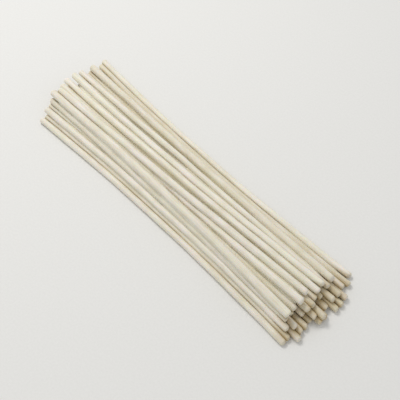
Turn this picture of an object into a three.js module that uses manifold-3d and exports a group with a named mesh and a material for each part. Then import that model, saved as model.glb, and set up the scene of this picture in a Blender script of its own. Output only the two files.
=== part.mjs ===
// A loose bundle of thick dried wheat noodles, lying on a table.
// Millimetres. +X runs along the bundle to its near end, +Y across it, +Z up, and the table is z = 0.
// The bundle is one solid out to its uneven outline: every strand shows, joined by a core between them.

import * as THREE from 'three';
import { mergeVertices } from 'three/addons/utils/BufferGeometryUtils.js';
import Module from 'manifold-3d';

// ---------- driving sizes ----------

const strandWidth = 3.4;      // an ordinary strand
const widthSpread = 0.05;     // strands are up to this share thicker or thinner
const waist = 0.12;           // the strands lie this share closer together at mid length
const halfSpan = 96;          // the places across are given this far either side of mid length
const layerRise = 2.95;       // how far one layer starts above the next, before they settle

const sides = 8;              // of a strand's section, with one side flat down
const bends = 5;              // straight pieces along a strand
const tipFace = 0.55;         // a cut end's flat face, as a share of the strand's width
const tipBevel = 0.5;         // length of the worn edge of a cut end, as a share of the strand's radius
const flatBelow = 0.12;       // what lies lower than this is pressed flat on the table

const coreReach = [-80, 90];  // the core stops short of all the tips
const coreFloor = 0.9;        // height of the core's underside
const coreSink = 1.1;         // the core's top is this far below the strands' tops
const coreSteps = [6, 26];    // faces of the core along and across
const grooveWidth = 1.2;      // the core also keeps below the strands this far to each side

// The strands, from the table up. A group's layers are those it starts in at the far and at the near end.
// A strand is its place across at the far and near end, its far and near tip, its thickness if not 1,
// and how far it bows across at mid length, if it does.
const groups = [
  {
    layers: [0, 0],
    strands: [
      [-28.5, -24.5, -88, 102, 1, 3.5],
      [-24.5, -21, -88, 102, 1, 1],
      [-20.5, -17.5, -86, 106],
      [-16.5, -14, -86, 104],
      [-12.5, -10, -87, 104],
      [-8, -5.5, -84, 107, 1.1],
      [-3.5, 0.5, -85, 107],
      [1.5, 6, -84, 108],
      [6.5, 10.5, -84, 108],
      [12, 13.5, -86, 107],
      [19.5, 16.5, -94, 102],
      [24, 20.5, -97, 103],
      [27, 25, -98.5, 100],
    ],
  },
  {
    layers: [1, 1],
    strands: [
      [-21.5, -20, -90, 99, 1.15],
      [-17.5, -16, -91, 101],
      [-13.5, -12, -90, 95],
      [-8, -8, -88, 103],
      [-4, -5, -89, 104],
      [0, -3.5, -87, 107],
      [4, 2, -91, 104],
      [8, 6, -92, 104],
      [13, 9, -95, 104],
      [19, 15, -94, 95],
    ],
  },
  {
    layers: [2, 2],
    strands: [
      [-16, -17, -91, 96],
      [8.5, 9.5, -96, 98],
      [16.5, 14, -95, 97, 1.15, 1],
    ],
  },
  {
    layers: [1, 2],
    strands: [
      [-10, -9, -92, 99],
      [-6.5, -6.5, -93, 100],
      [0, -3, -91, 100],
      [10.5, 1.5, -93, 99],
    ],
  },
  {
    layers: [2, 3],
    strands: [
      [-12.5, -10.5, -92, 95],
      [-7, -6, -93, 96, 1.1, -1.5],
      [4.5, 2, -92, 98],
    ],
  },
  {
    layers: [3, 2],
    strands: [
      [-12.5, -17.5, -92, 96, 1.3],
    ],
  },
  {
    layers: [3, 3],
    strands: [
      [-9, -2.5, -90, 94, 1.1, -3],
      [-1, 3.5, -97, 97, 1.1, -2.5],
      [4, 8.5, -95, 96, 1, -2.5],
    ],
  },
];

// ---------- how the strands settle on each other ----------

const stations = 7;           // sections at which strands may touch
const rounds = 600;
const settled = 0.75;         // after this share of the rounds nothing falls any more
const fall = 0.02;            // mm that a strand drops in a round
const grip = 0.03;            // share of a sideways shift that friction takes back
const push = 0.25;            // share of an overlap that each of two strands gives way

// An even, repeatable number from -1 to 1.
function noise(a, b) {
  const n = (a + 1.7) * 12.9898 + (b + 1.7) * 78.0898;
  const s = Math.sin(n) * 43758.5453;
  return 2 * (s - Math.floor(s)) - 1;
}

// Station k's place along the bundle, from -1 to 1.
function stationAt(k) {
  return (2 * k) / (stations - 1) - 1;
}

// The best even curve, level + slope t + bow t², through a value at each station: a strand is stiff.
const places = Array.from({ length: stations }, (unused, k) => stationAt(k));
const meanSquare = places.reduce((sum, t) => sum + t * t, 0) / stations;
const shapes = [
  places.map(() => 1),
  places,
  places.map((t) => t * t - meanSquare),
];
const shapeSizes = shapes.map((shape) => shape.reduce((sum, value) => sum + value * value, 0));

function stiffCurve(values) {
  return shapes.map((shape, n) => shape.reduce((sum, s, k) => sum + s * values[k], 0) / shapeSizes[n]);
}

function straighten(values) {
  const curve = stiffCurve(values);
  return places.map((t, k) => curve[0] * shapes[0][k] + curve[1] * shapes[1][k] + curve[2] * shapes[2][k]);
}

// Every strand with its radius, its tips and its first place at each station.
function layOut() {
  const laid = [];
  for (const { layers, strands } of groups) {
    for (const [farAcross, nearAcross, farTip, nearTip, thickness = 1, bow = 0] of strands) {
      const radius = (strandWidth / 2) * (1 + widthSpread * noise(laid.length, 3)) * thickness;
      const y = places.map((t) => {
        const across = farAcross + (nearAcross - farAcross) * (t + 1) / 2;
        return across * (1 - waist * (1 - t * t)) + bow * (1 - t * t);
      });
      const z = places.map((t) => strandWidth / 2 + layerRise * (layers[0] + (layers[1] - layers[0]) * (t + 1) / 2));
      laid.push({ radius, farTip, nearTip, y, z, home: y });
    }
  }
  return laid;
}

// Lets the strands drop, and pushes apart the two of each touching pair, until they lie on each other.
function settle(laid) {
  for (let round = 0; round < rounds; round++) {
    const falling = round < rounds * settled;
    const moves = laid.map(() => ({ y: places.map(() => 0), z: places.map(() => 0) }));
    if (falling) {
      for (const strand of laid) {
        strand.z = strand.z.map((z) => z - fall);
        strand.y = strand.y.map((y, k) => y + grip * (strand.home[k] - y));
      }
    }
    for (let i = 0; i < laid.length; i++) {
      for (let j = i + 1; j < laid.length; j++) {
        for (let k = 0; k < stations; k++) {
          const dy = laid[i].y[k] - laid[j].y[k];
          const dz = laid[i].z[k] - laid[j].z[k];
          const apart = Math.sqrt(dy * dy + dz * dz) + 1e-9;
          const overlap = laid[i].radius + laid[j].radius - apart;
          if (overlap > 0) {
            const share = (overlap * push) / apart;
            moves[i].y[k] += share * dy;
            moves[i].z[k] += share * dz;
            moves[j].y[k] -= share * dy;
            moves[j].z[k] -= share * dz;
          }
        }
      }
    }
    laid.forEach((strand, i) => {
      strand.y = straighten(strand.y.map((y, k) => y + moves[i].y[k]));
      const height = straighten(strand.z.map((z, k) => z + moves[i].z[k]));
      strand.z = straighten(height.map((z) => Math.max(z, strand.radius)));
    });
  }
  for (const strand of laid) {
    strand.across = stiffCurve(strand.y);
    strand.height = stiffCurve(strand.z);
  }
  return laid;
}

// The value of a strand's curve at x.
function along(curve, x) {
  const t = x / halfSpan;
  return curve[0] + curve[1] * t + curve[2] * (t * t - meanSquare);
}

// ---------- solids ----------

// A strand: a turned rod with worn, cut ends, bent along its curve.
function strandGeometry({ radius, farTip, nearTip, across, height }) {
  const length = nearTip - farTip;
  const corner = radius / Math.cos(Math.PI / sides);
  const bevel = tipBevel * radius;
  const profile = [new THREE.Vector2(0, 0), new THREE.Vector2(tipFace * corner, 0)];
  for (let n = 0; n <= bends; n++) {
    profile.push(new THREE.Vector2(corner, bevel + ((length - 2 * bevel) * n) / bends));
  }
  profile.push(new THREE.Vector2(tipFace * corner, length), new THREE.Vector2(0, length));
  const geometry = new THREE.LatheGeometry(profile, sides, Math.PI / sides);
  geometry.rotateZ(-Math.PI / 2);
  geometry.translate(farTip, 0, 0);
  const points = geometry.attributes.position;
  for (let n = 0; n < points.count; n++) {
    const x = points.getX(n);
    const y = points.getY(n) + along(across, x);
    const z = points.getZ(n) + along(height, x);
    points.setXYZ(n, x, y, z < flatBelow ? 0 : z);
  }
  return geometry;
}

// Height of the highest strand above a place on the table.
function skyline(laid, x, y) {
  let top = 0;
  for (const { radius, across, height } of laid) {
    const aside = y - along(across, x);
    if (Math.abs(aside) < radius) {
      top = Math.max(top, along(height, x) + Math.sqrt(radius * radius - aside * aside));
    }
  }
  return top;
}

// The core: a slab between the outermost strands' middles, its top following the strands from below.
function coreGeometry(laid) {
  const onTable = groups[0].strands.length;
  const left = laid[0];
  const right = laid[onTable - 1];
  const geometry = new THREE.BoxGeometry(1, 1, 1, coreSteps[0], coreSteps[1], 1);
  const points = geometry.attributes.position;
  for (let n = 0; n < points.count; n++) {
    const x = coreReach[0] + (coreReach[1] - coreReach[0]) * (points.getX(n) + 0.5);
    const leftEdge = along(left.across, x);
    const rightEdge = along(right.across, x);
    const y = leftEdge + (rightEdge - leftEdge) * (points.getY(n) + 0.5);
    const tops = [-grooveWidth, 0, grooveWidth].map((aside) => skyline(laid, x, y + aside));
    const top = Math.max(Math.min(...tops), strandWidth) - coreSink;
    points.setXYZ(n, x, y, points.getZ(n) > 0 ? top : coreFloor);
  }
  return geometry;
}

// ---------- joining ----------

const wasm = await Module();
wasm.setup();

function toSolid(geometry) {
  geometry.deleteAttribute('normal');
  geometry.deleteAttribute('uv');
  const merged = mergeVertices(geometry);
  return new wasm.Manifold(new wasm.Mesh({
    numProp: 3,
    vertProperties: new Float32Array(merged.attributes.position.array),
    triVerts: new Uint32Array(merged.index.array),
  }));
}

// The triangles of the outer surface. The small pockets shut in between strands and core have a
// surface of their own, and are left out, which fills them.
function outerTriangles(triVerts, vertexCount) {
  const leader = Array.from({ length: vertexCount }, (unused, n) => n);
  const leaderOf = (n) => {
    while (leader[n] !== n) {
      leader[n] = leader[leader[n]];
      n = leader[n];
    }
    return n;
  };
  for (let n = 0; n < triVerts.length; n += 3) {
    leader[leaderOf(triVerts[n])] = leaderOf(triVerts[n + 1]);
    leader[leaderOf(triVerts[n + 1])] = leaderOf(triVerts[n + 2]);
  }
  const surfaces = new Map();
  for (let n = 0; n < triVerts.length; n += 3) {
    const name = leaderOf(triVerts[n]);
    surfaces.set(name, [...(surfaces.get(name) ?? []), triVerts[n], triVerts[n + 1], triVerts[n + 2]]);
  }
  return [...surfaces.values()].reduce((largest, surface) => (surface.length > largest.length ? surface : largest));
}

function toGeometry(solid) {
  const { vertProperties, triVerts } = solid.getMesh();
  const geometry = new THREE.BufferGeometry();
  geometry.setAttribute('position', new THREE.BufferAttribute(vertProperties, 3));
  geometry.setIndex(outerTriangles(triVerts, vertProperties.length / 3));
  geometry.computeVertexNormals();
  return geometry;
}

function bundleGeometry() {
  const laid = settle(layOut());
  let bundle = toSolid(coreGeometry(laid));
  for (const strand of laid) {
    bundle = bundle.add(toSolid(strandGeometry(strand)));
  }
  const geometry = toGeometry(bundle);
  geometry.computeBoundingBox();
  const middle = geometry.boundingBox.getCenter(new THREE.Vector3());
  geometry.translate(-middle.x, -middle.y, 0);
  return geometry;
}

const noodleMaterial = new THREE.MeshStandardMaterial({ color: '#e3dac4', roughness: 0.6, metalness: 0 });

const noodleBundle = new THREE.Mesh(bundleGeometry(), noodleMaterial);
noodleBundle.name = 'noodle_bundle';

const group = new THREE.Group();
group.add(noodleBundle);

export default group;
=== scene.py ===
"""A loose bundle of thick dried wheat noodles on a table: separate strands, over a small core.

The layout is in millimetres and the scene in metres. +X runs along the bundle to its near end, +Y across it,
+Z up, and the table is z = 0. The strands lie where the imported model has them, as the same rules place them.
"""

import math

import bpy
import numpy as np
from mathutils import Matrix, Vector


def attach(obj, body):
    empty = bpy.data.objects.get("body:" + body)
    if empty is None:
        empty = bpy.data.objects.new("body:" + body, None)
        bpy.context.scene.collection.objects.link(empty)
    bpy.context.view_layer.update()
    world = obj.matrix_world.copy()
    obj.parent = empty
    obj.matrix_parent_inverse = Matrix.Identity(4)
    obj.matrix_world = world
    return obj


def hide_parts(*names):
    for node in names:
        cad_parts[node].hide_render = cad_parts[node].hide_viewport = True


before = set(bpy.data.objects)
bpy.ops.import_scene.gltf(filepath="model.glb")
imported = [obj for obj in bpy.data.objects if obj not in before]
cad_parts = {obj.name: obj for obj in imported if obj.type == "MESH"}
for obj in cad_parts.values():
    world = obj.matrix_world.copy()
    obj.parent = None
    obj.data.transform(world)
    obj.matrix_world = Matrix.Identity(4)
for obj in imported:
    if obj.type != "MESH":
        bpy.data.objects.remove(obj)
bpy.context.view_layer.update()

MM = 0.001

# ---------- camera, at the picture's viewing angle ----------

CAMERA_ELEVATION = math.radians(57)
CAMERA_AZIMUTH = math.radians(46.7)
CAMERA_DISTANCE = 407 * MM
CAMERA_TARGET = Vector((12.0, -0.8, 6.0)) * MM
CAMERA_SENSOR = 36            # mm wide
CAMERA_LENS = 69.2            # mm
CAMERA_CLIP = (0.01, 20)      # nearest and furthest that it sees, in metres


def make_camera():
    back = Vector((
        math.sin(CAMERA_AZIMUTH) * math.cos(CAMERA_ELEVATION),
        -math.cos(CAMERA_AZIMUTH) * math.cos(CAMERA_ELEVATION),
        math.sin(CAMERA_ELEVATION),
    ))
    data = bpy.data.cameras.new("camera")
    data.lens = CAMERA_LENS
    data.sensor_width = CAMERA_SENSOR
    data.clip_start, data.clip_end = CAMERA_CLIP
    camera = bpy.data.objects.new("camera", data)
    camera.location = CAMERA_TARGET + back * CAMERA_DISTANCE
    camera.rotation_mode = "QUATERNION"
    camera.rotation_quaternion = (-back).to_track_quat("-Z", "Y")
    bpy.context.scene.collection.objects.link(camera)
    bpy.context.scene.camera = camera


make_camera()

# ---------- driving sizes of the layout, in millimetres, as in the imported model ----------

STRAND_WIDTH = 3.4
WIDTH_SPREAD = 0.05           # strands are up to this share thicker or thinner
WAIST = 0.12                  # the strands lie this share closer together at mid length
HALF_SPAN = 96.0              # the places across are given this far either side of mid length
LAYER_RISE = 2.95             # how far one layer starts above the next, before they settle

# The strands, from the table up. A group's layers are those it starts in at the far and at the near end.
# A strand is its place across at the far and near end, its far and near tip, its thickness if not 1,
# and how far it bows across at mid length, if it does.
GROUPS = [
    ((0, 0), [
        (-28.5, -24.5, -88, 102, 1, 3.5),
        (-24.5, -21, -88, 102, 1, 1),
        (-20.5, -17.5, -86, 106),
        (-16.5, -14, -86, 104),
        (-12.5, -10, -87, 104),
        (-8, -5.5, -84, 107, 1.1),
        (-3.5, 0.5, -85, 107),
        (1.5, 6, -84, 108),
        (6.5, 10.5, -84, 108),
        (12, 13.5, -86, 107),
        (19.5, 16.5, -94, 102),
        (24, 20.5, -97, 103),
        (27, 25, -98.5, 100),
    ]),
    ((1, 1), [
        (-21.5, -20, -90, 99, 1.15),
        (-17.5, -16, -91, 101),
        (-13.5, -12, -90, 95),
        (-8, -8, -88, 103),
        (-4, -5, -89, 104),
        (0, -3.5, -87, 107),
        (4, 2, -91, 104),
        (8, 6, -92, 104),
        (13, 9, -95, 104),
        (19, 15, -94, 95),
    ]),
    ((2, 2), [
        (-16, -17, -91, 96),
        (8.5, 9.5, -96, 98),
        (16.5, 14, -95, 97, 1.15, 1),
    ]),
    ((1, 2), [
        (-10, -9, -92, 99),
        (-6.5, -6.5, -93, 100),
        (0, -3, -91, 100),
        (10.5, 1.5, -93, 99),
    ]),
    ((2, 3), [
        (-12.5, -10.5, -92, 95),
        (-7, -6, -93, 96, 1.1, -1.5),
        (4.5, 2, -92, 98),
    ]),
    ((3, 2), [
        (-12.5, -17.5, -92, 96, 1.3),
    ]),
    ((3, 3), [
        (-9, -2.5, -90, 94, 1.1, -3),
        (-1, 3.5, -97, 97, 1.1, -2.5),
        (4, 8.5, -95, 96, 1, -2.5),
    ]),
]

# ---------- how the strands settle on each other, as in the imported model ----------

STATIONS = 7                  # sections at which strands may touch
ROUNDS = 600
SETTLED = 0.75                # after this share of the rounds nothing falls any more
FALL = 0.02                   # mm that a strand drops in a round
GRIP = 0.03                   # share of a sideways shift that friction takes back
PUSH = 0.25                   # share of an overlap that each of two strands gives way
TINY = 1e-9                   # keeps a distance above zero
WIDTH_SEED = 3

PLACES = np.linspace(-1, 1, STATIONS)
MEAN_SQUARE = np.mean(PLACES ** 2)
SHAPES = np.stack([np.ones(STATIONS), PLACES, PLACES ** 2 - MEAN_SQUARE])
SHAPE_SIZES = (SHAPES ** 2).sum(1)


def noise(a, b):
    """An even, repeatable number from -1 to 1."""
    n = (a + 1.7) * 12.9898 + (b + 1.7) * 78.0898
    s = np.sin(n) * 43758.5453
    return 2 * (s - np.floor(s)) - 1


def stiff_curves(values):
    """For each strand the best even curve, level + slope t + bow t squared, through its stations."""
    return values @ SHAPES.T / SHAPE_SIZES


def straighten(values):
    return stiff_curves(values) @ SHAPES


def lay_out():
    """Every strand's radius and tips, and its first place at each station."""
    radii, tips, across, height = [], [], [], []
    share = (PLACES + 1) / 2
    for (far_layer, near_layer), strands in GROUPS:
        for far_across, near_across, far_tip, near_tip, *rest in strands:
            thickness = rest[0] if rest else 1
            bow = rest[1] if len(rest) > 1 else 0
            spread = 1 + WIDTH_SPREAD * noise(len(radii), WIDTH_SEED)
            radii.append(STRAND_WIDTH / 2 * spread * thickness)
            tips.append((far_tip, near_tip))
            line = far_across + (near_across - far_across) * share
            across.append(line * (1 - WAIST * (1 - PLACES ** 2)) + bow * (1 - PLACES ** 2))
            layer = far_layer + (near_layer - far_layer) * share
            height.append(STRAND_WIDTH / 2 + LAYER_RISE * layer)
    return np.array(radii), np.array(tips), np.array(across), np.array(height)


def settle(radii, across, height):
    """Lets the strands drop, and pushes touching pairs apart, until they lie on each other."""
    home = across
    first, second = np.triu_indices(len(radii), 1)
    reach = (radii[first] + radii[second])[:, None]
    for round_number in range(ROUNDS):
        if round_number < ROUNDS * SETTLED:
            height = height - FALL
            across = across + GRIP * (home - across)
        dy = across[first] - across[second]
        dz = height[first] - height[second]
        apart = np.sqrt(dy * dy + dz * dz) + TINY
        share = np.maximum(reach - apart, 0) * PUSH / apart
        for values, shift in ((across, share * dy), (height, share * dz)):
            np.add.at(values, first, shift)
            np.add.at(values, second, -shift)
        across = straighten(across)
        height = straighten(np.maximum(straighten(height), radii[:, None]))
    return stiff_curves(across), stiff_curves(height)


def along(curve, x):
    """The value of a strand's curve at x."""
    t = x / HALF_SPAN
    return curve[0] + curve[1] * t + curve[2] * (t * t - MEAN_SQUARE)


radii, tips, start_across, start_height = lay_out()
across_curves, height_curves = settle(radii, start_across, start_height)

# ---------- the strands' shapes, in millimetres ----------

SECTION_SIDES = 30
RING_STEP = 3.8               # between rings along a strand
TIP_RINGS = 7
TIP_LENGTH = 0.75             # of a cut end's worn part, as a share of the radius
TIP_POWER = 2.7               # 2 is a round end, more is flatter with tighter edges
CUT_SLANT = 0.22              # most that a cut leans, as a slope
CUT_SLANT_FADE = 3.0          # radii from the tip over which the lean dies out
WANDER = 0.13                 # sideways waviness of a strand
WANDER_WAVE = (52.0, 88.0)    # its wave length, shortest and longest
SWELL = 0.022                 # lengthwise change of the radius, as a share
SWELL_WAVE = (14.0, 31.0)
OVERTONE = 0.43               # a wave has a second one on it, with this share of its length
OVERTONE_PART = 0.28          # and with this part of the whole
OVAL = 0.028                  # how far a section is from round, as a share
THREE_SIDED = 0.4             # how far it is three-sided, as a share of that
TWIST_WAVE = 150.0            # length over which the oval turns once
CHIP = 0.07                   # unevenness of a worn cut end, as a share of the radius
CHIP_SHARE = 0.5              # it grows until a ring is this share smaller than a whole one
EDGE_CHIP = 0.25              # and it is this much more on all of the worn part

# Seeds, which keep the strands' uneven features apart from each other. The last three are added to the
# number of a strand.
WAVE_SEEDS = (11, 12)         # for a wave's length and its start
OVAL_SEED = 21
SLANT_SIDE_SEEDS = (31, 32)   # for the cuts at the far and the near tip
SLANT_RISE_SEEDS = (33, 34)
CHIP_SEED = 35
GRAIN_SEEDS = (41, 42, 43)
SWELL_SEED = 200
SIDE_SEED = 400
RISE_SEED = 600


def strand_rings(radius, far_tip, near_tip):
    """The rings' distances along the strand and their share of the full radius."""
    angles = np.linspace(0, math.pi / 2, TIP_RINGS + 1)[1:]
    tip_share = np.sin(angles) ** (2 / TIP_POWER)
    tip_depth = TIP_LENGTH * radius * (1 - np.cos(angles) ** (2 / TIP_POWER))
    body_from = far_tip + tip_depth[-1]
    body_to = near_tip - tip_depth[-1]
    count = int(round((body_to - body_from) / RING_STEP))
    body = np.linspace(body_from, body_to, count + 1)[1:-1]
    x = np.concatenate([far_tip + tip_depth, body, (near_tip - tip_depth)[::-1]])
    share = np.concatenate([tip_share, np.ones(len(body)), tip_share[::-1]])
    return x, share


def wave(x, lengths, seed):
    """A soft wave along x, its length and start set by the seed, from -1 to 1."""
    shortest, longest = lengths
    length_seed, start_seed = WAVE_SEEDS
    length = shortest + (longest - shortest) * (noise(seed, length_seed) + 1) / 2
    start = math.pi * noise(seed, start_seed)
    main = np.sin(2 * math.pi * x / length + start)
    overtone = np.sin(2 * math.pi * x / (length * OVERTONE) - start)
    return (1 - OVERTONE_PART) * main + OVERTONE_PART * overtone


def ring_sizes(index, x, share, turn):
    """How far each ring's points are from the strand's middle: oval, swelling, and chipped at worn ends."""
    oval_turn = 2 * math.pi * (x / TWIST_WAVE + noise(index, OVAL_SEED))[:, None]
    section = 1 + OVAL * np.cos(2 * turn - oval_turn) + THREE_SIDED * OVAL * np.cos(3 * turn + 2 * oval_turn)
    swell = 1 + SWELL * wave(x, SWELL_WAVE, index + SWELL_SEED)
    size = (radii[index] * share * swell)[:, None] * section
    worn = np.clip((1 - share) / CHIP_SHARE, 0, 1)[:, None] + EDGE_CHIP * (share < 1)[:, None]
    broad = np.sin(3 * turn + 5 * noise(index, CHIP_SEED))
    fine = np.sin(5 * turn + 7 * share[:, None] + index)
    return size * (1 + CHIP * worn * (broad + fine) / 2)


def cut_lean(index, x):
    """How much of the lean of the nearer cut each ring has, and that cut's slopes to the side and up."""
    far_tip, near_tip = tips[index]
    from_tip = np.minimum(x - far_tip, near_tip - x)
    fade = np.clip(1 - from_tip / (CUT_SLANT_FADE * radii[index]), 0, 1)[:, None]
    at_far = (x - far_tip < near_tip - x)[:, None]
    slopes = [
        np.where(at_far, noise(index, far_seed), noise(index, near_seed)) * CUT_SLANT
        for far_seed, near_seed in (SLANT_SIDE_SEEDS, SLANT_RISE_SEEDS)
    ]
    return fade, *slopes


# ---------- what the strands' material needs to know at each point ----------

GRAIN_SPREAD = 500            # a strand's grain is shifted by up to this much, so that no two are alike
CUT_SHARE = 0.25              # a ring is all cut once it is this share smaller than a whole one
CREASE_SHADE_REACH = 0.45           # gap to the next strand at which the painted crease shade has faded to a third
END_CREASE_SHADE_REACH = 2.4        # and the same at the bundle's near end
TABLE_REACH = 0.8             # and the same above the table
TABLE_SHADE = 0.8            # depth of the painted shade near the table, where one between strands is 1
END_REACH = (9.0, 18.0)       # up to the first of these from the near end the painted crease shade has its full depth,
OPEN_CREASE_SHADE = 0.62            # and past the second it has this share of it
FAR_SHARE = 0.25              # how much of the near end's deeper painted shade the far end has
FAR_AWAY = 1e3


def strand_mesh(index):
    """One strand's points and ring count, and the grain and the cut at each point."""
    far_tip, near_tip = tips[index]
    x, share = strand_rings(radii[index], far_tip, near_tip)
    turn = 2 * math.pi * np.arange(SECTION_SIDES) / SECTION_SIDES
    size = ring_sizes(index, x, share, turn)
    side = size * np.cos(turn)
    rise = size * np.sin(turn)
    lean, lean_side, lean_rise = cut_lean(index, x)
    centre_y = along(across_curves[index], x) + WANDER * wave(x, WANDER_WAVE, index + SIDE_SEED)
    centre_z = along(height_curves[index], x) + WANDER * wave(x, WANDER_WAVE, index + RISE_SEED)
    ring_x = x[:, None] + lean * (lean_side * side + lean_rise * rise)
    ring_y = centre_y[:, None] + side
    ring_z = np.maximum(centre_z[:, None] + rise, 0)
    rings = np.stack([ring_x, ring_y, ring_z], -1).reshape(-1, 3)
    poles = np.array([
        (far_tip, centre_y[0], max(centre_z[0], 0)),
        (near_tip, centre_y[-1], max(centre_z[-1], 0)),
    ])
    grain = np.stack([ring_x, side, rise], -1).reshape(-1, 3)
    grain = np.concatenate([grain, [(far_tip, 0, 0), (near_tip, 0, 0)]])
    grain = grain + np.array([noise(index, seed) for seed in GRAIN_SEEDS]) * GRAIN_SPREAD
    cut = np.repeat(np.clip((1 - share) / CUT_SHARE, 0, 1), SECTION_SIDES)
    cut = np.concatenate([cut, [1, 1]])
    return np.concatenate([rings, poles]), len(x), grain, cut


def tube_faces(ring_count, start):
    """Quads between the rings and a fan of triangles on each end."""
    faces = []
    far_pole = start + ring_count * SECTION_SIDES
    near_pole = far_pole + 1
    last = start + (ring_count - 1) * SECTION_SIDES
    for k in range(SECTION_SIDES):
        after = (k + 1) % SECTION_SIDES
        faces.append((far_pole, start + after, start + k))
        faces.append((near_pole, last + k, last + after))
        for ring in range(ring_count - 1):
            low = start + ring * SECTION_SIDES
            high = low + SECTION_SIDES
            faces.append((low + k, low + after, high + after, high + k))
    return faces


def painted_shade_depth(points, index):
    """How much painted shade each point gets, in creases between strands and near the table: near 0 in the
    open, and 1 where strands touch at the near end.
    """
    x, y, z = points.T
    nearest = np.full(len(points), FAR_AWAY)
    for other in range(len(radii)):
        if other != index:
            dy = y - along(across_curves[other], x)
            dz = z - along(height_curves[other], x)
            skin = np.maximum(np.hypot(dy, dz) - radii[other], 0)
            beyond = np.maximum(np.maximum(tips[other][0] - x, x - tips[other][1]), 0)
            nearest = np.minimum(nearest, np.hypot(skin, beyond))
    # the painted shade is deeper towards the bundle's near end, and a little towards its far end
    full, none = END_REACH
    at_near = np.clip((none - tips[:, 1].max() + x) / (none - full), 0, 1)
    at_far = np.clip((none - x + tips[:, 0].min()) / (none - full), 0, 1)
    at_end = np.maximum(at_near, FAR_SHARE * at_far)
    reach = CREASE_SHADE_REACH + (END_CREASE_SHADE_REACH - CREASE_SHADE_REACH) * at_end
    painted_shade = np.maximum(np.exp(-nearest / reach), TABLE_SHADE * np.exp(-z / TABLE_REACH))
    return painted_shade * (OPEN_CREASE_SHADE + (1 - OPEN_CREASE_SHADE) * at_end)


# ---------- materials ----------

CREAM_PALE = (0.820, 0.795, 0.665, 1)
CREAM_ROSY = (0.850, 0.795, 0.730, 1)
CREAM_DEEP = (0.640, 0.575, 0.420, 1)
# painted shade: the colour the strands take in creases between them, near the table and at the bundle's ends
SHADE_OCHRE = (0.430, 0.310, 0.120, 1)
FLOUR = (0.835, 0.815, 0.745, 1)
BRAN = (0.520, 0.380, 0.210, 1)
PAPER_DEEP = (0.765, 0.758, 0.735, 1)
PAPER_PALE = (0.795, 0.788, 0.765, 1)

# A pattern is how fast it changes along, aside and up, its detail and its roughness. The strands' patterns
# are given for each millimetre, and the core's and the paper's for each metre.
RIDGES = ((0.015, 0.9, 0.9), 2, 0.5)
STREAKS = ((0.05, 3.0, 3.0), 4, 0.6)
MOTTLE = ((0.12, 0.3, 0.3), 3, 0.55)
WARMTH = ((0.07, 0.22, 0.22), 2, 0.5)
DUST = ((2.0, 3.4, 3.4), 5, 0.7)
SPECKS = ((3.2, 4.4, 4.4), 1, 0.4)
CORE_STREAKS = ((30, 900, 900), 3, 0.5)
TOOTH = ((900, 900, 900), 3, 0.6)

# The values between which a pattern goes from nothing to all.
WIDE_BAND = (0.35, 0.7)
EVEN_BAND = (0.35, 0.65)
TOOTH_BAND = (0.3, 0.7)
DUST_BAND = (0.52, 0.72)
SPECK_BAND = (0.73, 0.78)
CREASE_SHADE_BAND = (0.1, 1)
WHOLE_BAND = (0, 1)

STREAK_SHADE = 0.45           # how far streaks, mottle and the strand's own tone deepen the cream
MOTTLE_SHADE = 0.42
TONE_SHADE = 0.32
TONE_SEED = 639               # one that makes the outermost strands pale, as in the picture
DUST_COVER = 0.5              # how far flour, bran specks, a cut's flour and the ochre painted crease shade cover it, where thickest
SPECK_COVER = 0.45
CUT_COVER = 0.35
CREASE_SHADE_COVER = 0.92

RIDGE_RELIEF = (0.5, 0.35 * MM)         # a bump's strength and height
STREAK_RELIEF = (0.45, 0.12 * MM)
DUST_RELIEF = (0.4, 0.06 * MM)
CORE_RELIEF = (0.4, 0.3 * MM)

SKIN_ROUGHNESS = (0.5, 0.72)            # bare and floury
SKIN_SHINE = 0.35
CORE_ROUGHNESS = 0.75
PAPER_ROUGHNESS = 0.9
PAPER_SHINE = 0.1
GLOW = 0.18                             # share of the light that passes under the skin
GLOW_COLOUR = (1.0, 0.7, 0.4)
GLOW_DEPTH = 0.9 * MM


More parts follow.
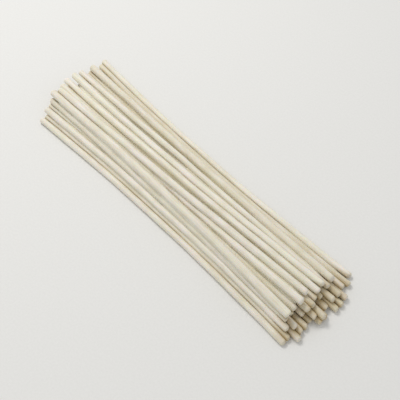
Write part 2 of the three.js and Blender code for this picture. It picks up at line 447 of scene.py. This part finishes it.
class Graph:
    """A short way to add and join the nodes of one material."""

    def __init__(self, name):
        self.material = bpy.data.materials.new(name)
        self.material.use_nodes = True
        self.nodes = self.material.node_tree.nodes
        self.links = self.material.node_tree.links
        self.shader = next(node for node in self.nodes if node.type == "BSDF_PRINCIPLED")

    def put(self, socket, value):
        if isinstance(value, bpy.types.NodeSocket):
            self.links.new(value, socket)
        else:
            socket.default_value = value

    def set(self, name, value):
        self.put(self.shader.inputs[name], value)

    def attribute(self, name, output="Fac"):
        node = self.nodes.new("ShaderNodeAttribute")
        node.attribute_name = name
        return node.outputs[output]

    def object_place(self):
        return self.nodes.new("ShaderNodeTexCoord").outputs["Object"]

    def pattern(self, place, pace, detail, roughness):
        """A noise, from 0 to 1, that changes at its own pace in each direction."""
        scaled = self.nodes.new("ShaderNodeVectorMath")
        scaled.operation = "MULTIPLY"
        self.put(scaled.inputs[0], place)
        scaled.inputs[1].default_value = pace
        node = self.nodes.new("ShaderNodeTexNoise")
        self.put(node.inputs["Vector"], scaled.outputs[0])
        node.inputs["Scale"].default_value = 1
        node.inputs["Detail"].default_value = detail
        node.inputs["Roughness"].default_value = roughness
        return node.outputs["Fac"]

    def range(self, value, band, to_low=0.0, to_high=1.0):
        node = self.nodes.new("ShaderNodeMapRange")
        self.put(node.inputs["Value"], value)
        node.inputs["From Min"].default_value = band[0]
        node.inputs["From Max"].default_value = band[1]
        node.inputs["To Min"].default_value = to_low
        node.inputs["To Max"].default_value = to_high
        return node.outputs["Result"]

    def math(self, operation, first, second):
        node = self.nodes.new("ShaderNodeMath")
        node.operation = operation
        self.put(node.inputs[0], first)
        self.put(node.inputs[1], second)
        return node.outputs[0]

    def mix(self, factor, first, second):
        node = self.nodes.new("ShaderNodeMix")
        node.data_type = "RGBA"
        self.put(node.inputs["Factor"], factor)
        self.put(node.inputs["A"], first)
        self.put(node.inputs["B"], second)
        return node.outputs["Result"]

    def bump(self, height, strength, distance, normal=None):
        node = self.nodes.new("ShaderNodeBump")
        self.put(node.inputs["Height"], height)
        node.inputs["Strength"].default_value = strength
        node.inputs["Distance"].default_value = distance
        if normal is not None:
            self.links.new(normal, node.inputs["Normal"])
        return node.outputs["Normal"]


def noodle_material():
    """Dry wheat noodle: cream, streaked along its length, mottled, floury, with ochre painted shade deep in
    the creases.
    """
    graph = Graph("dried_noodle")
    grain = graph.attribute("grain", "Vector")
    tone = graph.attribute("tone")
    painted_shade = graph.attribute("painted_shade")
    cut = graph.attribute("cut")
    ridges = graph.pattern(grain, *RIDGES)
    streaks = graph.pattern(grain, *STREAKS)
    mottle = graph.pattern(grain, *MOTTLE)
    warmth = graph.pattern(grain, *WARMTH)
    dust = graph.pattern(grain, *DUST)
    specks = graph.pattern(grain, *SPECKS)
    streak_shade = graph.range(streaks, WIDE_BAND, 0, STREAK_SHADE)
    mottle_shade = graph.range(mottle, WIDE_BAND, 0, MOTTLE_SHADE)
    shade = graph.math("ADD", streak_shade, mottle_shade)
    shade = graph.math("ADD", shade, graph.math("MULTIPLY", tone, TONE_SHADE))
    pale = graph.mix(graph.range(warmth, EVEN_BAND), CREAM_ROSY, CREAM_PALE)
    colour = graph.mix(graph.range(shade, WHOLE_BAND), pale, CREAM_DEEP)
    colour = graph.mix(graph.range(dust, DUST_BAND, 0, DUST_COVER), colour, FLOUR)
    colour = graph.mix(graph.range(specks, SPECK_BAND, 0, SPECK_COVER), colour, BRAN)
    colour = graph.mix(graph.math("MULTIPLY", cut, CUT_COVER), colour, FLOUR)
    # painted shade: ochre where strands touch each other or lie near the table, deepest at the near end
    colour = graph.mix(graph.range(painted_shade, CREASE_SHADE_BAND, 0, CREASE_SHADE_COVER), colour, SHADE_OCHRE)
    graph.set("Base Color", colour)
    graph.set("Roughness", graph.range(dust, TOOTH_BAND, *SKIN_ROUGHNESS))
    graph.set("Specular IOR Level", SKIN_SHINE)
    graph.set("Subsurface Weight", GLOW)
    graph.set("Subsurface Radius", GLOW_COLOUR)
    graph.set("Subsurface Scale", GLOW_DEPTH)
    relief = graph.bump(ridges, *RIDGE_RELIEF)
    relief = graph.bump(streaks, *STREAK_RELIEF, relief)
    relief = graph.bump(dust, *DUST_RELIEF, relief)
    graph.set("Normal", relief)
    return graph.material


def core_material():
    """The shaded noodle mass seen through the gaps."""
    graph = Graph("noodle_core")
    streaks = graph.pattern(graph.object_place(), *CORE_STREAKS)
    graph.set("Base Color", graph.mix(graph.range(streaks, EVEN_BAND), CREAM_DEEP, CREAM_PALE))
    graph.set("Roughness", CORE_ROUGHNESS)
    graph.set("Normal", graph.bump(streaks, *CORE_RELIEF))
    return graph.material


def floor_material():
    """Plain pale paper with the faintest tooth."""
    graph = Graph("pale_floor")
    tooth = graph.pattern(graph.object_place(), *TOOTH)
    graph.set("Base Color", graph.mix(graph.range(tooth, TOOTH_BAND), PAPER_DEEP, PAPER_PALE))
    graph.set("Roughness", PAPER_ROUGHNESS)
    graph.set("Specular IOR Level", PAPER_SHINE)
    return graph.material


# ---------- pieces ----------

FLOOR_HALF = 2.0              # metres from the floor's middle to its sides
FLOOR_DROP = 0.02 * MM        # it lies this far below the strands' flat undersides, so as not to touch them


def add_attribute(mesh, name, kind, values):
    attribute = mesh.attributes.new(name, kind, "POINT")
    field = "vector" if kind == "FLOAT_VECTOR" else "value"
    attribute.data.foreach_set(field, np.asarray(values, np.float32).ravel())


def make_piece(name, points, faces, material):
    mesh = bpy.data.meshes.new(name)
    mesh.from_pydata(points.tolist(), [], faces)
    mesh.polygons.foreach_set("use_smooth", [True] * len(mesh.polygons))
    mesh.materials.append(material)
    mesh.update()
    piece = bpy.data.objects.new(name, mesh)
    bpy.context.scene.collection.objects.link(piece)
    return piece


def make_strands(material):
    """All strands as one joined mesh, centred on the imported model, and the shift that centres it."""
    points, faces, grains, cuts, tones, painted_shades = [], [], [], [], [], []
    start = 0
    for index in range(len(radii)):
        own, ring_count, grain, cut = strand_mesh(index)
        points.append(own)
        faces.extend(tube_faces(ring_count, start))
        grains.append(grain)
        cuts.append(cut)
        tones.append(np.full(len(own), noise(index, TONE_SEED)))
        # the painted crease shade at each point
        painted_shades.append(painted_shade_depth(own, index))
        start += len(own)
    points = np.concatenate(points)
    middle = (points.min(0) + points.max(0)) / 2
    shift = np.array([-middle[0], -middle[1], 0])
    strands = make_piece("noodle_strands", (points + shift) * MM, faces, material)
    add_attribute(strands.data, "grain", "FLOAT_VECTOR", np.concatenate(grains))
    add_attribute(strands.data, "cut", "FLOAT", np.concatenate(cuts))
    add_attribute(strands.data, "tone", "FLOAT", np.concatenate(tones))
    add_attribute(strands.data, "painted_shade", "FLOAT", np.concatenate(painted_shades))
    return strands, shift


def make_floor(material):
    half = FLOOR_HALF
    corners = np.array([(-half, -half, 0), (half, -half, 0), (half, half, 0), (-half, half, 0)])
    floor = make_piece("floor", corners, [(0, 1, 2, 3)], material)
    floor.location.z = -FLOOR_DROP
    return floor


# ---------- the core, in millimetres ----------

CORE_REACH = (-83.0, 93.0)    # its far and near end at its sides, short of the tips
CORE_TONGUE = 6.0             # its far end reaches this much further in the middle, under the top strands
CORE_FLOOR = 1.2              # height of its underside
CORE_SINK = 1.5               # its top is this far below the strands' tops
CORE_SLOPE = 5.0              # over this length its top falls away towards each end
CORE_FALL = 2.0               # by this much
CORE_WEDGE = 8.0              # over this length its underside rises to an edge at the far end
CORE_EDGE = 0.4               # thickness of that edge, and the least anywhere
CORE_BRIDGE = 1.6             # it closes gaps between strands that are narrower than this
BRIDGE_STEPS = 4              # looking at this many steps across such a gap
CORE_STEPS = (60, 110)        # faces of the core along and across


def skyline(x, y):
    """Height of the highest strand above each place on the table."""
    top = np.zeros_like(x)
    for index, radius in enumerate(radii):
        aside = y - along(across_curves[index], x)
        over = np.abs(aside) < radius
        rise = along(height_curves[index], x) + np.sqrt(np.maximum(radius ** 2 - aside ** 2, 0))
        top = np.where(over, np.maximum(top, rise), top)
    return top


def bridged_skyline(x, y):
    """The skyline with its narrow gaps closed: of all windows over a place, the lowest highest point."""
    steps = range(-BRIDGE_STEPS, BRIDGE_STEPS + 1)
    tops = [skyline(x, y + CORE_BRIDGE * step / BRIDGE_STEPS) for step in steps]
    windows = [tops[first:first + BRIDGE_STEPS + 1] for first in range(BRIDGE_STEPS + 1)]
    return np.minimum.reduce([np.maximum.reduce(window) for window in windows])


def core_sheets():
    """The points of the core's ribbed top and of its underside, row by row from the far end."""
    rows = np.linspace(0, 1, CORE_STEPS[0] + 1)[:, None]
    share = np.linspace(0, 1, CORE_STEPS[1] + 1)[None, :]
    far_end = CORE_REACH[0] - CORE_TONGUE * np.sin(math.pi * share) ** 2
    x = far_end + (CORE_REACH[1] - far_end) * rows
    outermost = len(GROUPS[0][1]) - 1
    left = along(across_curves[0], x)
    right = along(across_curves[outermost], x)
    y = left + (right - left) * share
    from_end = np.minimum(x - far_end, CORE_REACH[1] - x)
    fall = CORE_FALL * np.clip(1 - from_end / CORE_SLOPE, 0, 1) ** 2
    top = np.maximum(bridged_skyline(x, y) - CORE_SINK - fall, CORE_FLOOR + CORE_EDGE)
    wedge = np.clip(1 - (x - far_end) / CORE_WEDGE, 0, 1)
    bottom = CORE_FLOOR + (top - CORE_EDGE - CORE_FLOOR) * wedge
    return [np.stack([x, y, z], -1).reshape(-1, 3) for z in (top, bottom)]


def slab_faces(rows, columns):
    """Faces of a closed slab: the upper sheet, the lower sheet, and a rim that joins their edges."""
    in_row = columns + 1
    below = (rows + 1) * in_row
    faces = []
    for i in range(rows):
        for j in range(columns):
            a = i * in_row + j
            faces.append((a, a + in_row, a + in_row + 1, a + 1))
            faces.append((below + a, below + a + 1, below + a + in_row + 1, below + a + in_row))
    rim = list(range(in_row))
    rim += [i * in_row + columns for i in range(1, rows + 1)]
    rim += [rows * in_row + j for j in range(columns - 1, -1, -1)]
    rim += [i * in_row for i in range(rows - 1, 0, -1)]
    for a, b in zip(rim, rim[1:] + rim[:1]):
        faces.append((a, b, below + b, below + a))
    return faces


def make_core(material, shift):
    """A closed slab inside the strands, which closes the gaps between them."""
    points = (np.concatenate(core_sheets()) + shift) * MM
    return make_piece("noodle_core", points, slab_faces(*CORE_STEPS), material)


# ---------- light ----------

KEY_PLACE = Vector((-0.40, 0.04, 0.70))
KEY_SIZE = 0.3
KEY_POWER = 2.85
KEY_COLOUR = (1.0, 0.985, 0.96)
SKY_COLOUR = (0.98, 0.99, 1.0, 1)
SKY_STRENGTH = 0.65


def make_light():
    """A soft round light, high up beyond the far end, and an even pale sky."""
    data = bpy.data.lights.new("key", "AREA")
    data.shape = "DISK"
    data.size = KEY_SIZE
    data.energy = KEY_POWER
    data.color = KEY_COLOUR
    key = bpy.data.objects.new("key", data)
    key.location = KEY_PLACE
    key.rotation_mode = "QUATERNION"
    key.rotation_quaternion = (-KEY_PLACE).to_track_quat("-Z", "Y")
    key.visible_camera = False
    bpy.context.scene.collection.objects.link(key)
    world = bpy.data.worlds.new("sky")
    world.use_nodes = True
    sky = world.node_tree.nodes["Background"]
    sky.inputs["Color"].default_value = SKY_COLOUR
    sky.inputs["Strength"].default_value = SKY_STRENGTH
    bpy.context.scene.world = world
    bpy.context.scene.view_settings.view_transform = "Standard"


strands, shift = make_strands(noodle_material())
core = make_core(core_material(), shift)
for piece in (strands, core):
    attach(piece, "root")
    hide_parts("noodle_bundle")
make_floor(floor_material())
make_light()
